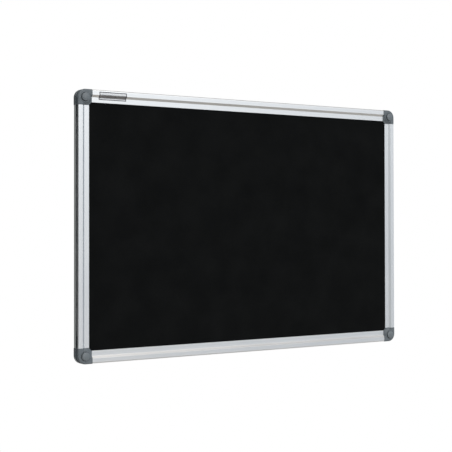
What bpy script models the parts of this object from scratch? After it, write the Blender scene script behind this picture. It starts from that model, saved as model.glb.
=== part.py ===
"""Fabric pin board, 90 x 60 cm: a felt-faced softboard panel held in a frame of four aluminium rails.

Moulded corners plug into the rails. Each corner takes one wall screw, under a round push-in cap.
Metres, +Z up. The origin is the middle of the board on the wall, the front faces -Y, +X is the width.
Two words are used throughout: across runs from an outer edge of the frame towards the middle, and
depth runs from the rails' front face back towards the wall.
"""

from math import cos, hypot, pi, radians, sin, sqrt

import bmesh
import bpy
from mathutils import Matrix, Vector

# Overall size, over the rails' outer sides
BOARD_WIDTH = 0.900
BOARD_HEIGHT = 0.600

# Clearances, and how far a cutter runs past what it cuts
SEAT_GAP = 0.0003
CUT_OVERRUN = 0.002

# Rail section: a thin-walled extrusion whose face steps down towards the panel
RAIL_WALL = 0.0012
INSIDE_RADIUS = 0.0016
BAND_WIDTH = 0.0115
SLOPE_WIDTH = 0.005
STEP_DROP = 0.004
LIP_WIDTH = 0.0115
WEB_ON_SLOPE_SHARE = 0.5
SLOT_SHOULDER = 0.0006
SLOT_HEIGHT = 0.0092
FLANGE_WIDTH = 0.0068
BACK_STEP = 0.0036

# Panel layers, from the front
FELT_THICKNESS = 0.0012
CORE_THICKNESS = 0.0088
BACKING_THICKNESS = 0.0004

# Frame screws: countersunk in the rails' back walls, with their threads in the corners' legs
FRAME_SCREW_RADIUS = 0.00145
FRAME_SCREW_LENGTH = 0.0085
FRAME_SCREW_TIP = 0.002
FRAME_HEAD_RADIUS = 0.0029
FRAME_HEAD_DEPTH = 0.0013
SCREW_HOLE_CLEARANCE = 0.0004

# Corners
PAD_STANDOFF = 0.0006
ARM_PAST_FACE = 0.0064
CORNER_RADIUS = 0.019
CORNER_EDGE_RADIUS = 0.0036
PROUD = 0.0006
PLATE_DISC_RADIUS = 0.0196
LEG_LENGTH = 0.025
GROOVE_FLOOR = 0.0045
SCREW_ON_LEG_SHARE = 0.5

# Wall screw's place in each corner
CAP_INSET = 0.017
HEAD_BORE_RADIUS = 0.0055
BORE_WALL = 0.0025
BORE_FLOOR = 0.006
WALL_SCREW_HOLE_RADIUS = 0.00275
WELL_DEPTH = 0.002
BOSS_RIM = 0.0023

# Caps
CAP_RADIUS = 0.0092
CAP_RING_GAP = 0.0005
CAP_SIDE_RISE = 0.0036
CAP_CROWN = 0.0016
CAP_SKIN = 0.0016
SKIRT_WALL = 0.0012
SKIRT_LENGTH = 0.0048
SKIRT_CLEARANCE = 0.0003

# Printed film on the top rail, wrapped over the step
LABEL_START = 0.0515
LABEL_LENGTH = 0.067
LABEL_ABOVE_STEP = 0.0075
LABEL_BELOW_STEP = 0.005
LABEL_THICKNESS = 0.0002
LABEL_GAP = 0.0001

# Counts and angles
EDGE_STEPS = 4
CORNER_STEPS = 10
ROUND_STEPS = 40
SMALL_ROUND_STEPS = 16
CROWN_STEPS = 5
SHARP_ANGLE = radians(30)
FLAT_ANGLE = radians(1)
BEVEL_PROFILE_SHARE = 0.5

# Points closer than this are one point
WELD = 0.00001

# Rail section, worked out: distances across
EDGE_RADIUS = RAIL_WALL + INSIDE_RADIUS
STEP_END = BAND_WIDTH + SLOPE_WIDTH
FACE_WIDTH = STEP_END + LIP_WIDTH
WEB_OUTSIDE = BAND_WIDTH + SLOPE_WIDTH * WEB_ON_SLOPE_SHARE
WEB_INSIDE = WEB_OUTSIDE + RAIL_WALL

# Rail section, worked out: depths
SLOT_FRONT = EDGE_RADIUS + SLOT_SHOULDER
SLOT_BACK = SLOT_FRONT + SLOT_HEIGHT
LIP_BACK = STEP_DROP + RAIL_WALL
FELT_FRONT = LIP_BACK + SEAT_GAP
CORE_FRONT = FELT_FRONT + FELT_THICKNESS + SEAT_GAP
BACKING_FRONT = CORE_FRONT + CORE_THICKNESS + SEAT_GAP
FLANGE_FRONT = BACKING_FRONT + BACKING_THICKNESS + SEAT_GAP
FLANGE_BACK = FLANGE_FRONT + RAIL_WALL
RAIL_DEPTH = FLANGE_BACK + BACK_STEP
WALL_DEPTH = RAIL_DEPTH + PAD_STANDOFF
SLOPE_WALL = RAIL_WALL * hypot(SLOPE_WIDTH, STEP_DROP) / SLOPE_WIDTH

# Corners and caps, worked out
ARM_LENGTH = FACE_WIDTH + ARM_PAST_FACE
FRAME_SCREW_ALONG = ARM_LENGTH + LEG_LENGTH * SCREW_ON_LEG_SHARE
FRAME_SCREW_ACROSS = (RAIL_WALL + WEB_OUTSIDE) / 2
FRAME_HOLE_RADIUS = FRAME_SCREW_RADIUS + SCREW_HOLE_CLEARANCE
WELL_RADIUS = CAP_RADIUS + CAP_RING_GAP
BOSS_RADIUS = WELL_RADIUS + BOSS_RIM
CORNER_HEIGHT = WALL_DEPTH + PROUD
GROOVE_DEPTH = PROUD + GROOVE_FLOOR
DIAGONAL_SUM = 2 * CAP_INSET + sqrt(2) * (HEAD_BORE_RADIUS + BORE_WALL)
PANEL_EDGE = WEB_INSIDE + SEAT_GAP

# Frames: where the two directions of an outline, and the third, square to them, point on a piece
X, Y, Z = Vector((1, 0, 0)), Vector((0, 1, 0)), Vector((0, 0, 1))


def frame_of(first, second, origin):
    """A placing matrix: the outline's two directions and the piece's own origin, in outline terms."""
    turn = Matrix((first, second, first.cross(second))).transposed()
    return turn.to_4x4() @ Matrix.Translation(-Vector(origin))


CORNER_FRAME = frame_of(-Z, -X, (CAP_INSET, CAP_INSET, WALL_DEPTH))
RAIL_FRAME = frame_of(-Z, Y, (0, WALL_DEPTH, 0))
PANEL_FRAME = frame_of(X, Z, (0, 0, 0))


def collection(name):
    made = bpy.data.collections.new(name)
    bpy.context.scene.collection.children.link(made)
    return made


def clear_scene():
    for obj in list(bpy.data.objects):
        bpy.data.objects.remove(obj, do_unlink=True)


def material(name, colour, roughness, metallic):
    made = bpy.data.materials.new(name)
    made.use_nodes = True
    shader = made.node_tree.nodes["Principled BSDF"]
    shader.inputs["Base Color"].default_value = (*colour, 1)
    shader.inputs["Roughness"].default_value = roughness
    shader.inputs["Metallic"].default_value = metallic
    return made


def piece(name, mesh, finish, place=(0, 0, 0), turn=0):
    """A sub-part. Its quarter turns about the depth axis take the top of the frame to the right side."""
    made = bpy.data.objects.new(name, mesh)
    made.location = place
    made.rotation_euler.y = turn * pi / 2
    if not mesh.materials:
        mesh.materials.append(finish)
    BOARD.objects.link(made)


def helper(name, mesh):
    """A shape that cuts or joins another one: it stays out of the part."""
    made = bpy.data.objects.new(name, mesh)
    made.hide_render = True
    made.display_type = "WIRE"
    CUTTERS.objects.link(made)
    return made


def slab(name, outline, low, high, frame):
    """A flat outline made solid from low to high along the frame's third direction."""
    curve = bpy.data.curves.new(name, "CURVE")
    curve.dimensions = "2D"
    curve.fill_mode = "BOTH"
    curve.extrude = (high - low) / 2
    spline = curve.splines.new("POLY")
    spline.points.add(len(outline) - 1)
    for point, (first, second) in zip(spline.points, outline):
        point.co = (first, second, 0, 1)
    spline.use_cyclic_u = True
    drawn = bpy.data.objects.new(name, curve)
    CUTTERS.objects.link(drawn)
    graph = bpy.context.evaluated_depsgraph_get()
    mesh = bpy.data.meshes.new_from_object(drawn.evaluated_get(graph))
    bpy.data.objects.remove(drawn)
    tidy(mesh, frame @ Matrix.Translation((0, 0, (low + high) / 2)))
    smooth(mesh)
    mesh.name = name
    return mesh


def tidy(mesh, place):
    """Welds a curve's caps to its sides, joins its flat faces and puts it in its place."""
    bm = bmesh.new()
    bm.from_mesh(mesh)
    bmesh.ops.remove_doubles(bm, verts=bm.verts, dist=WELD)
    bmesh.ops.dissolve_limit(bm, angle_limit=FLAT_ANGLE, verts=bm.verts, edges=bm.edges)
    bmesh.ops.transform(bm, matrix=place, verts=bm.verts)
    bmesh.ops.recalc_face_normals(bm, faces=bm.faces)
    bm.to_mesh(mesh)
    bm.free()


def frustum(name, radii, low, high, centre, frame, steps=ROUND_STEPS):
    """A cone or cylinder from low to high, with its radius at each end."""
    mesh = bpy.data.meshes.new(name)
    bm = bmesh.new()
    place = frame @ Matrix.Translation((*centre, (low + high) / 2))
    bmesh.ops.create_cone(
        bm, cap_ends=True, segments=steps, radius1=radii[0], radius2=radii[1], depth=high - low, matrix=place
    )
    bm.to_mesh(mesh)
    bm.free()
    return mesh


def combine(target, tool_mesh, operation):
    """Cuts the tool's mesh from the target, or joins it, and keeps the result as the target's mesh."""
    tool = helper(tool_mesh.name, tool_mesh)
    modifier = target.modifiers.new(operation.title(), "BOOLEAN")
    modifier.operation = operation
    modifier.object = tool
    graph = bpy.context.evaluated_depsgraph_get()
    made = bpy.data.meshes.new_from_object(target.evaluated_get(graph))
    target.modifiers.clear()
    target.data = made


def smooth(mesh):
    mesh.shade_smooth()
    mesh.set_sharp_from_angle(angle=SHARP_ANGLE)


def shape_of(worked):
    """The mesh of a shape that was worked as a helper, which is then no longer needed."""
    mesh = worked.data
    bpy.data.objects.remove(worked)
    smooth(mesh)
    return mesh


def arc(centre, radius, start, end, steps):
    """Points on an arc, both ends included, angles in quarter turns."""
    angles = [(start + (end - start) * i / steps) * pi / 2 for i in range(steps + 1)]
    return [(centre[0] + radius * cos(angle), centre[1] + radius * sin(angle)) for angle in angles]


def rail_section():
    """The extrusion's outline in (across, depth): face, lip, rear flange, back, and the slotted chamber."""
    outer_corner = (EDGE_RADIUS, EDGE_RADIUS)
    slope_under = BAND_WIDTH + (RAIL_WALL - SLOPE_WALL) * SLOPE_WIDTH / STEP_DROP
    web_under = STEP_DROP * WEB_ON_SLOPE_SHARE + SLOPE_WALL
    face = [(BAND_WIDTH, 0), (STEP_END, STEP_DROP), (FACE_WIDTH, STEP_DROP), (FACE_WIDTH, LIP_BACK)]
    seat = [(WEB_INSIDE, LIP_BACK), (WEB_INSIDE, FLANGE_FRONT), (WEB_INSIDE + FLANGE_WIDTH, FLANGE_FRONT)]
    flange = [(WEB_INSIDE + FLANGE_WIDTH, FLANGE_BACK), (WEB_INSIDE, FLANGE_BACK)]
    back = [(WEB_INSIDE, RAIL_DEPTH), (0, RAIL_DEPTH), (0, SLOT_BACK), (RAIL_WALL, SLOT_BACK)]
    chamber = [(RAIL_WALL, RAIL_DEPTH - RAIL_WALL), (WEB_OUTSIDE, RAIL_DEPTH - RAIL_WALL)]
    under = [(WEB_OUTSIDE, web_under), (slope_under, RAIL_WALL)]
    inner_arc = arc(outer_corner, INSIDE_RADIUS, 3, 2, EDGE_STEPS)
    mouth = [(RAIL_WALL, SLOT_FRONT), (0, SLOT_FRONT)]
    outer_arc = arc(outer_corner, EDGE_RADIUS, 2, 3, EDGE_STEPS)
    return outer_arc + face + seat + flange + back + chamber + under + inner_arc + mouth


def rail_mesh(name, board_length):
    """A rail between two corners, with a countersunk screw hole through its back wall at each end."""
    half = board_length / 2 - ARM_LENGTH - SEAT_GAP
    rail = helper(name, slab(name, rail_section(), -half, half, RAIL_FRAME))
    low = PAD_STANDOFF - CUT_OVERRUN
    spread = CUT_OVERRUN * (FRAME_HEAD_RADIUS - FRAME_SCREW_RADIUS) / FRAME_HEAD_DEPTH
    mouth = (FRAME_HEAD_RADIUS + SCREW_HOLE_CLEARANCE + spread, FRAME_HOLE_RADIUS)
    for side in (-1, 1):
        centre = (side * (board_length / 2 - FRAME_SCREW_ALONG), -FRAME_SCREW_ACROSS)
        for tool, radii, high in (
            ("countersink", mouth, PAD_STANDOFF + FRAME_HEAD_DEPTH),
            ("hole", (FRAME_HOLE_RADIUS, FRAME_HOLE_RADIUS), PAD_STANDOFF + RAIL_WALL + CUT_OVERRUN),
        ):
            cutter = frustum(f"{name}_{tool}", radii, low, high, centre, PANEL_FRAME, SMALL_ROUND_STEPS)
            combine(rail, cutter, "DIFFERENCE")
    return shape_of(rail)


def rails():
    long_mesh = rail_mesh("rail_long", BOARD_WIDTH)
    short_mesh = rail_mesh("rail_short", BOARD_HEIGHT)
    piece("rail_top", long_mesh, ALUMINIUM, (0, 0, BOARD_HEIGHT / 2), 0)
    piece("rail_right", short_mesh, ALUMINIUM, (BOARD_WIDTH / 2, 0, 0), 1)
    piece("rail_bottom", long_mesh, ALUMINIUM, (0, 0, -BOARD_HEIGHT / 2), 2)
    piece("rail_left", short_mesh, ALUMINIUM, (-BOARD_WIDTH / 2, 0, 0), 3)


def corner_outline(inset, reach):
    """The corner's square with its one rounded outer corner, drawn in by inset from its outer sides."""
    low = inset - PROUD
    centre = CORNER_RADIUS - PROUD
    rounded = arc((centre, centre), CORNER_RADIUS - inset, 2, 3, CORNER_STEPS)
    return rounded + [(reach, low), (reach, reach), (low, reach)]


def square(low, high):
    return [(low, low), (high, low), (high, high), (low, high)]


def corner_body():
    """The full-depth block, its front edge rounded along the two outer sides."""
    mesh = slab("corner_body", corner_outline(0, ARM_LENGTH), -PROUD, WALL_DEPTH, CORNER_FRAME)
    bm = bmesh.new()
    bm.from_mesh(mesh)
    arm_end = CAP_INSET - ARM_LENGTH
    rounded = [
        edge
        for edge in bm.edges
        if all(abs(vert.co.y + CORNER_HEIGHT) < WELD for vert in edge.verts)
        and not all(abs(vert.co.x - arm_end) < WELD for vert in edge.verts)
        and not all(abs(vert.co.z - arm_end) < WELD for vert in edge.verts)
    ]
    bmesh.ops.bevel(
        bm, geom=rounded, offset=CORNER_EDGE_RADIUS, segments=EDGE_STEPS, profile=BEVEL_PROFILE_SHARE,
        affect="EDGES",
    )
    bm.to_mesh(mesh)
    bm.free()
    return helper("corner_body", mesh)


def front_pocket():
    """What lies above the corner's inner level: all past the sloped step, but not the round boss."""
    run = SLOPE_WIDTH / STEP_DROP
    front = -PROUD - CUT_OVERRUN
    floor = STEP_DROP - PROUD
    middle = 2 * ARM_LENGTH
    side_front = middle - (BAND_WIDTH - CUT_OVERRUN * run)
    side_floor = middle - STEP_END
    radii = (side_front * sqrt(2), side_floor * sqrt(2))
    square_on = CORNER_FRAME @ Matrix.Translation((middle, middle, 0)) @ Matrix.Rotation(pi / 4, 4, "Z")
    pocket = helper("front_pocket", frustum("front_pocket", radii, front, floor, (0, 0), square_on, 4))
    boss_front = BOSS_RADIUS - CUT_OVERRUN * run
    boss_base = BOSS_RADIUS + SLOPE_WIDTH + CUT_OVERRUN * run
    boss = frustum(
        "boss", (boss_front, boss_base), front, floor + CUT_OVERRUN, (CAP_INSET, CAP_INSET), CORNER_FRAME
    )
    combine(pocket, boss, "DIFFERENCE")
    return shape_of(pocket)


def plate_trim():
    """The waste outside the disc that covers the felt's corner."""
    low, high = -PROUD - CUT_OVERRUN, WALL_DEPTH + CUT_OVERRUN
    block = slab("plate_trim", square(FACE_WIDTH, 2 * ARM_LENGTH), low, high, CORNER_FRAME)
    waste = helper("plate_trim", block)
    disc = frustum(
        "plate_disc", (PLATE_DISC_RADIUS, PLATE_DISC_RADIUS), low - CUT_OVERRUN, high + CUT_OVERRUN,
        (CAP_INSET, CAP_INSET), CORNER_FRAME,
    )
    combine(waste, disc, "DIFFERENCE")
    return shape_of(waste)


def panel_pocket():
    """The room behind the corner's skin for the panel, cut off at 45 degrees round the screw's boss."""
    near, far = WEB_INSIDE, 2 * ARM_LENGTH
    outline = [(DIAGONAL_SUM - near, near), (far, near), (far, far), (near, far), (near, DIAGONAL_SUM - near)]
    return slab("panel_pocket", outline, LIP_BACK, WALL_DEPTH + CUT_OVERRUN, CORNER_FRAME)


def side_groove():
    """The rails' slot carried round the corner as a groove, its floor flush with the legs."""
    outside = square(-2 * CORNER_RADIUS, 2 * ARM_LENGTH)
    groove = helper("side_groove", slab("side_groove", outside, SLOT_FRONT, SLOT_BACK, CORNER_FRAME))
    core = slab(
        "groove_core", corner_outline(GROOVE_DEPTH, 2 * ARM_LENGTH + CUT_OVERRUN),
        SLOT_FRONT - CUT_OVERRUN, SLOT_BACK + CUT_OVERRUN, CORNER_FRAME,
    )
    combine(groove, core, "DIFFERENCE")
    return shape_of(groove)


def leg(name, swapped):
    """One leg: a seat gap from the rail's front, back and web, and set back from its slot."""
    near, far = GROOVE_FLOOR, WEB_OUTSIDE - SEAT_GAP
    root, tip = ARM_LENGTH - CUT_OVERRUN, ARM_LENGTH + LEG_LENGTH
    outline = [(near, root), (far, root), (far, tip), (near, tip)]
    if swapped:
        outline = [(along, across) for across, along in reversed(outline)]
    low = STEP_DROP * WEB_ON_SLOPE_SHARE + SLOPE_WALL + SEAT_GAP
    return slab(name, outline, low, RAIL_DEPTH - RAIL_WALL - SEAT_GAP, CORNER_FRAME)


def pilot_hole(name, centre):
    """A frame screw's hole in a leg, a seat gap deeper than the screw's point."""
    tip = RAIL_DEPTH - FRAME_SCREW_LENGTH
    radii = (FRAME_HOLE_RADIUS, FRAME_HOLE_RADIUS)
    return frustum(name, radii, tip - SEAT_GAP, RAIL_DEPTH, centre, CORNER_FRAME, SMALL_ROUND_STEPS)


def corner_mesh():
    """The corner, about its wall screw's axis, as it sits at the top right."""
    corner = corner_body()
    axis = (CAP_INSET, CAP_INSET)
    front = -PROUD - CUT_OVERRUN
    bore_back = WALL_DEPTH - BORE_FLOOR
    hole_back = WALL_DEPTH + CUT_OVERRUN
    for cutter in (front_pocket(), plate_trim(), panel_pocket(), side_groove()):
        combine(corner, cutter, "DIFFERENCE")
    for name, radius, back in (
        ("cap_well", WELL_RADIUS, WELL_DEPTH - PROUD),
        ("head_bore", HEAD_BORE_RADIUS, bore_back),
        ("wall_screw_hole", WALL_SCREW_HOLE_RADIUS, hole_back),
    ):
        combine(corner, frustum(name, (radius, radius), front, back, axis, CORNER_FRAME), "DIFFERENCE")
    for name, swapped in (("leg_down", False), ("leg_across", True)):
        combine(corner, leg(name, swapped), "UNION")
    for name, centre in (
        ("pilot_down", (FRAME_SCREW_ACROSS, FRAME_SCREW_ALONG)),
        ("pilot_across", (FRAME_SCREW_ALONG, FRAME_SCREW_ACROSS)),
    ):
        combine(corner, pilot_hole(name, centre), "DIFFERENCE")
    return shape_of(corner)


def turned(name, profile, steps):
    """A profile of (radius, height) points turned about the depth axis, height above the wall."""
    mesh = bpy.data.meshes.new(name)
    points = [(radius, 0, height) for radius, height in profile]
    mesh.from_pydata(points, [(i, i + 1) for i in range(len(points) - 1)], [])
    drawn = helper(name, mesh)
    screw = drawn.modifiers.new("Turn", "SCREW")
    screw.steps = screw.render_steps = steps
    screw.use_merge_vertices = True
    screw.merge_threshold = WELD
    graph = bpy.context.evaluated_depsgraph_get()
    made = bpy.data.meshes.new_from_object(drawn.evaluated_get(graph))
    made.transform(Matrix.Rotation(pi / 2, 4, "X"))
    bpy.data.objects.remove(drawn)
    smooth(made)
    return made


def cap_mesh():
    """The cap: a round button with a low dome, and a hollow skirt that pushes into the screw's bore."""
    underside = CORNER_HEIGHT - WELL_DEPTH + SEAT_GAP
    edge = CORNER_HEIGHT + CAP_SIDE_RISE
    sphere = (CAP_RADIUS**2 + CAP_CROWN**2) / (2 * CAP_CROWN)
    radii = [CAP_RADIUS * i / CROWN_STEPS for i in range(CROWN_STEPS + 1)]
    dome = [(radius, edge + CAP_CROWN - sphere + sqrt(sphere**2 - radius**2)) for radius in radii]
    skirt = HEAD_BORE_RADIUS - SKIRT_CLEARANCE
    foot = underside - SKIRT_LENGTH
    ceiling = edge - CAP_SKIN
    rest = [(CAP_RADIUS, underside), (skirt, underside), (skirt, foot), (skirt - SKIRT_WALL, foot)]
    inside = [(skirt - SKIRT_WALL, ceiling), (0, ceiling)]
    return turned("screw_cap", dome + rest + inside, ROUND_STEPS)


def frame_screw_mesh():
    """A small countersunk screw, its head flush with the rail's back and its point towards the front."""
    top = PAD_STANDOFF + FRAME_SCREW_LENGTH
    profile = [
        (0, top),
        (FRAME_SCREW_RADIUS, top - FRAME_SCREW_TIP),
        (FRAME_SCREW_RADIUS, PAD_STANDOFF + FRAME_HEAD_DEPTH),
        (FRAME_HEAD_RADIUS, PAD_STANDOFF),
        (0, PAD_STANDOFF),
    ]
    return turned("frame_screw", profile, SMALL_ROUND_STEPS)


def corners_and_caps():
    """Four corners, each turned a quarter from the last, with a cap on each corner's screw axis."""
    corner, cap, screw = corner_mesh(), cap_mesh(), frame_screw_mesh()
    out = (BOARD_WIDTH / 2, BOARD_HEIGHT / 2)
    places = (("top_right", 1, 1), ("bottom_right", 1, -1), ("bottom_left", -1, -1), ("top_left", -1, 1))
    for turn, (name, right, up) in enumerate(places):
        middle = (right * (out[0] - CAP_INSET), 0, up * (out[1] - CAP_INSET))
        piece(f"corner_{name}", corner, PLASTIC, middle, turn)
        piece(f"screw_cap_{name}", cap, CAP_PLASTIC, middle)
        beside = (right * (out[0] - FRAME_SCREW_ALONG), 0, up * (out[1] - FRAME_SCREW_ACROSS))
        below = (right * (out[0] - FRAME_SCREW_ACROSS), 0, up * (out[1] - FRAME_SCREW_ALONG))
        piece(f"frame_screw_{name}_level", screw, STEEL, beside)
        piece(f"frame_screw_{name}_upright", screw, STEEL, below)


def panel_layer(name, front, thickness, finish):
    """One layer of the panel: the opening between the rails' webs, with its corners cut off at 45 degrees."""
    side, top = BOARD_WIDTH / 2 - PANEL_EDGE, BOARD_HEIGHT / 2 - PANEL_EDGE
    cut = DIAGONAL_SUM + sqrt(2) * SEAT_GAP - 2 * PANEL_EDGE
    upper = [(side, top - cut), (side - cut, top), (cut - side, top), (-side, top - cut)]
    lower = [(-side, cut - top), (cut - side, -top), (side - cut, -top), (side, cut - top)]
    height = WALL_DEPTH - front
    piece(name, slab(name, upper + lower, height - thickness, height, PANEL_FRAME), finish)


def panel():
    panel_layer("fabric_face", FELT_FRONT, FELT_THICKNESS, FELT)
    panel_layer("softboard_core", CORE_FRONT, CORE_THICKNESS, SOFTBOARD)
    panel_layer("backing_sheet", BACKING_FRONT, BACKING_THICKNESS, GALVANISED)


def label():
    """The film, bent over the rail's step and open at both ends."""
    path = [(BAND_WIDTH - LABEL_ABOVE_STEP, 0), (BAND_WIDTH, 0), (STEP_END, STEP_DROP)]
    path.append((STEP_END + LABEL_BELOW_STEP, STEP_DROP))
    under = [(across, depth - LABEL_GAP) for across, depth in path]
    over = [(across, depth - LABEL_GAP - LABEL_THICKNESS) for across, depth in path]
    mesh = slab("label_film", over + under[::-1], -LABEL_LENGTH / 2, LABEL_LENGTH / 2, RAIL_FRAME)
    middle = LABEL_START + LABEL_LENGTH / 2 - BOARD_WIDTH / 2
    piece("label_film", mesh, FILM, (middle, 0, BOARD_HEIGHT / 2))


clear_scene()
BOARD = collection("fabric_pin_board")
CUTTERS = collection("fabric_pin_board_cutters")
ALUMINIUM = material("satin_aluminium", (0.72, 0.74, 0.76), 0.35, 1)
PLASTIC = material("corner_plastic", (0.16, 0.18, 0.2), 0.45, 0)
CAP_PLASTIC = material("cap_plastic", (0.18, 0.2, 0.22), 0.4, 0)
FELT = material("black_felt", (0.007, 0.0075, 0.008), 0.95, 0)
SOFTBOARD = material("softboard", (0.42, 0.31, 0.19), 0.9, 0)
GALVANISED = material("galvanised_sheet", (0.55, 0.57, 0.58), 0.45, 1)
STEEL = material("zinc_steel", (0.6, 0.6, 0.58), 0.35, 1)
FILM = material("label_film", (0.62, 0.63, 0.64), 0.3, 0)
rails()
corners_and_caps()
panel()
label()
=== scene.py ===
# %% [markdown]
# # A felt pin board in a frame of aluminium rails
# The real object is a wall board of 90 by 60 cm. Four rails hold a panel of felt, softboard and
# steel, moulded corners plug into the rails' ends, and a round cap hides each wall screw.
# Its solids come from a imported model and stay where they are. This lesson makes what the eye
# meets: the same pieces with soft edges, each in its own finish, and the light of a studio.

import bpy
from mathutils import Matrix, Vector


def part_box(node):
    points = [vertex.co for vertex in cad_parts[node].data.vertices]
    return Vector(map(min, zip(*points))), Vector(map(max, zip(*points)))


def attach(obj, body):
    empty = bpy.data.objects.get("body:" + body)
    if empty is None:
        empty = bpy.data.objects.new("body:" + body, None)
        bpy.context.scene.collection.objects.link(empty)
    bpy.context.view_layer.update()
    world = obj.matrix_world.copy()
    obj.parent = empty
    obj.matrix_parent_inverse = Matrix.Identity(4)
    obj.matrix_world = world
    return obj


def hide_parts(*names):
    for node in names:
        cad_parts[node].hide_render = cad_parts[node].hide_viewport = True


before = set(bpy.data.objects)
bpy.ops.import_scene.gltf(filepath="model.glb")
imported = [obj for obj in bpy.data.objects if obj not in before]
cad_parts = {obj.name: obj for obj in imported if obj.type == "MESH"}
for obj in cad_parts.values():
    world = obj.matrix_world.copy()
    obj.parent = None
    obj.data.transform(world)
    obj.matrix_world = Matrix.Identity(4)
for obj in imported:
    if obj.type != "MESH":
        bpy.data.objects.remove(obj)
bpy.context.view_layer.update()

# %% The modules that the lesson uses
from math import cos, hypot, pi, radians, sin, sqrt

import bmesh
import bpy
import numpy as np
from mathutils import Vector, geometry

# %% [markdown]
# ## Where things are
# Every piece is drawn in the terms of the workshop. *Across* runs from an outer edge of the frame
# towards its middle, and *depth* runs from the rails' front face back towards the wall. The frame's
# own boxes say where both start, so the drawing lands on the solids without any fitting.

# %% Read the frame's places
rail_low, rail_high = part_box("rail_top")
corner_low, corner_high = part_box("corner_top_left")
HALF_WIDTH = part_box("rail_right")[1].x
HALF_HEIGHT = rail_high.z
FACE_Y = rail_low.y
RAIL_DEPTH = rail_high.y - FACE_Y
WALL_DEPTH = corner_high.y - FACE_Y
PROUD = FACE_Y - corner_low.y
SEAT_GAP = 0.0003
ARM_END = HALF_WIDTH - rail_high.x - SEAT_GAP
CORNERS = {"top_left": (-1, 1), "top_right": (1, 1), "bottom_left": (-1, -1), "bottom_right": (1, -1)}
print(f"frame {2 * HALF_WIDTH:.3f} x {2 * HALF_HEIGHT:.3f} m, corner arms {1000 * ARM_END:.1f} mm")


def in_corner(name):
    """Places points (across from the side, across from the top or bottom, depth) in a corner."""
    right, up = CORNERS[name]
    return lambda p: np.column_stack([
        right * (HALF_WIDTH - p[:, 0]), FACE_Y + p[:, 2], up * (HALF_HEIGHT - p[:, 1]),
    ])


def along_rail(name):
    """Places points (along the rail, across, depth) on one rail."""
    sign = 1 if name in ("top", "right") else -1
    if name in ("top", "bottom"):
        return lambda p: np.column_stack([p[:, 0], FACE_Y + p[:, 2], sign * (HALF_HEIGHT - p[:, 1])])
    return lambda p: np.column_stack([sign * (HALF_WIDTH - p[:, 1]), FACE_Y + p[:, 2], p[:, 0]])


# %% [markdown]
# ## Tools for surfaces
# No real edge is sharp: even a saw cut or a die leaves a radius that catches a thread of light.
# A Bevel modifier could round the solids, but it stumbles over their many small triangles.
# So each outline is written once with a radius at every corner, and carried along a path as a
# grid of points. Flat faces with holes in them are filled with triangles between their loops.
# All patches of a piece share the points on their seams, so welding closes the surface.

# %% Round an outline
# An arc's steps grow with its radius, and points nearer than WELD, in metres, become one.
SMALL_STEPS, MEDIUM_STEPS, LARGE_STEPS = 5, 6, 8
WELD = 0.0000015


def rounded(corners, radii, steps=SMALL_STEPS):
    """A closed outline with each corner turned into an arc that touches its two sides.

    The arc's centre lies on the corner's bisector, at radius / sin(half angle) from the corner, and
    its ends at radius / tan(half angle) along the sides. A radius of 0 keeps the corner's point.
    """
    here = np.array(corners, float)
    radius = np.broadcast_to(np.array(radii, float), len(here))[:, None]
    back, ahead = np.roll(here, 1, 0) - here, np.roll(here, -1, 0) - here
    back /= np.linalg.norm(back, axis=1, keepdims=True)
    ahead /= np.linalg.norm(ahead, axis=1, keepdims=True)
    bisector = back + ahead
    bisector /= np.linalg.norm(bisector, axis=1, keepdims=True)
    half_cos = (back * bisector).sum(1, keepdims=True)
    half_sin = np.sqrt(1 - half_cos**2)
    centre = here + bisector * radius / half_sin
    first = here + back * radius * half_cos / half_sin - centre
    last = here + ahead * radius * half_cos / half_sin - centre
    start, end = np.arctan2(first[:, 1], first[:, 0]), np.arctan2(last[:, 1], last[:, 0])
    sweep = (end - start + pi) % (2 * pi) - pi
    angles = start[:, None] + sweep[:, None] * np.linspace(0, 1, steps + 1)
    points = centre[:, None] + radius[:, :, None] * np.stack([np.cos(angles), np.sin(angles)], axis=2)
    points = points.reshape(-1, 2)
    apart = np.linalg.norm(points - np.roll(points, 1, 0), axis=1) > WELD
    return points[apart]


def rounded_path(corners, radii, steps=SMALL_STEPS):
    """The same for an open path, whose first and last points stay as they are."""
    return rounded(corners, [0, *radii, 0], steps)


def drawn_in(loop, distance):
    """A closed loop moved towards its inside. Each point goes along the mean of its sides' normals."""
    ahead = np.roll(loop, -1, 0) - loop
    ahead /= np.linalg.norm(ahead, axis=1, keepdims=True)
    x, y = loop[:, 0], loop[:, 1]
    turn = np.sign((x * np.roll(y, -1) - np.roll(x, -1) * y).sum())
    inward = turn * np.column_stack([-ahead[:, 1], ahead[:, 0]])
    both = inward + np.roll(inward, 1, 0)
    return loop + distance * 2 * both / (both**2).sum(1, keepdims=True)


def ring(centre, radius, steps):
    """Points on a circle, from angle 0 on."""
    angles = np.arange(steps) * 2 * pi / steps
    return np.column_stack([centre[0] + radius * np.cos(angles), centre[1] + radius * np.sin(angles)])


# %% Gather patches into a piece
SHARP_ANGLE = radians(40)


def at_depth(depth):
    """Lifts flat points to one third coordinate."""
    return lambda flat: np.column_stack([flat, np.full(len(flat), depth)])


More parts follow.
